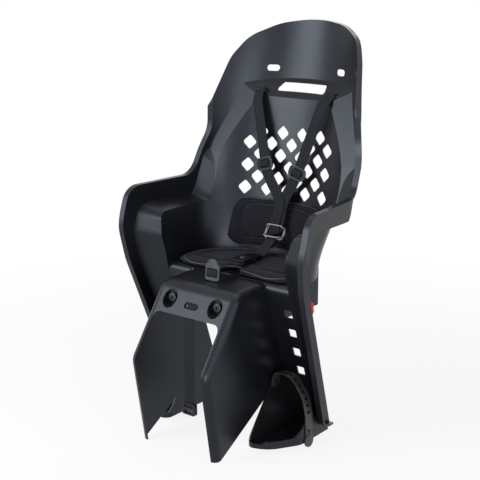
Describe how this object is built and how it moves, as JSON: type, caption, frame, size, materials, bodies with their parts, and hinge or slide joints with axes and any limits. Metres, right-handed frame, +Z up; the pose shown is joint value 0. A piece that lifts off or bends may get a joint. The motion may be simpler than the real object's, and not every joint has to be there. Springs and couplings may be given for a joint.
{
  "type": "child bike seat",
  "caption": "Rack-mounted child bike seat: moulded shell with lattice back, headrest and leg shields, padded seat, harness with buckle, sliding footrests and a screw clamp for the rack rails.",
  "frame": {"origin": "middle of the clamp base's flat underside, where it rests on the bicycle rack", "axes": "+Z up, -Y the way the child faces, +X towards the child's left"},
  "size_m": [0.4612, 0.4973, 0.8056],
  "materials": {
    "shell_plastic": "fine-grained moulded charcoal plastic",
    "pad_fabric": "padded dark fabric with a bound edge",
    "webbing": "flat woven webbing",
    "black_plastic": "smooth black plastic",
    "buckle_plastic": "grey plastic",
    "button_plastic": "dark grey plastic",
    "knob_red": "red plastic",
    "foot_rubber": "soft rubber",
    "clamp_metal": "black powder coat",
    "steel": "zinc-plated steel"
  },
  "bodies": {
    "seat": {"seat_shell": "shell_plastic", "seat_pad": "pad_fabric", "back_pad": "pad_fabric", "shoulder_strap_left": "webbing", "shoulder_strap_right": "webbing", "strap_adjuster_left": "black_plastic", "strap_adjuster_right": "black_plastic", "harness_ring": "buckle_plastic", "lap_strap": "webbing", "buckle_tongue": "black_plastic", "buckle_body": "black_plastic", "crotch_strap": "webbing", "crotch_adjuster": "buckle_plastic", "strap_anchors": "steel", "safety_strap": "webbing", "safety_strap_slider": "black_plastic", "clamp_base": "clamp_metal", "mount_bolts": "steel", "mount_nuts": "steel", "base_screws": "steel"},
    "left_foot": {"footrest_left": "shell_plastic", "foot_strap_left": "foot_rubber"},
    "right_foot": {"footrest_right": "shell_plastic", "foot_strap_right": "foot_rubber"},
    "button": {"buckle_button": "button_plastic"},
    "spindle": {"clamp_spindle": "steel", "clamp_knob": "knob_red", "spindle_clip": "steel"},
    "left_jaw": {"clamp_jaw_left": "clamp_metal"},
    "right_jaw": {"clamp_jaw_right": "clamp_metal"}
  },
  "joints": [
    {"name": "left_foot_height", "type": "slide", "parent": "seat", "child": "left_foot", "axis": [0, -0.3305, 0.9438], "range_m": [0, 0.08]},
    {"name": "right_foot_height", "type": "slide", "parent": "seat", "child": "right_foot", "axis": [0, -0.3305, 0.9438], "range_m": [0, 0.08]},
    {"name": "button_press", "type": "slide", "parent": "seat", "child": "button", "axis": [0, 0, -1], "range_m": [0, 0.002], "stiffness_N_per_m": 400},
    {"name": "left_jaw_slide", "type": "slide", "parent": "seat", "child": "left_jaw", "axis": [1, 0, 0], "range_m": [0, 0.012]},
    {"name": "knob_turn", "type": "hinge", "parent": "seat", "child": "spindle", "pos_m": [0, -0.05, 0.027], "axis": [1, 0, 0], "range_deg": [0, 720]},
    {"name": "right_jaw_slide", "type": "slide", "parent": "seat", "child": "right_jaw", "axis": [-1, 0, 0], "range_m": [0, 0.012]}
  ],
  "couplings": [
    {"joint": "knob_turn", "follows": "left_jaw_slide", "rad_per_m": 1047.2},
    {"joint": "right_jaw_slide", "follows": "left_jaw_slide", "ratio": 1}
  ]
}
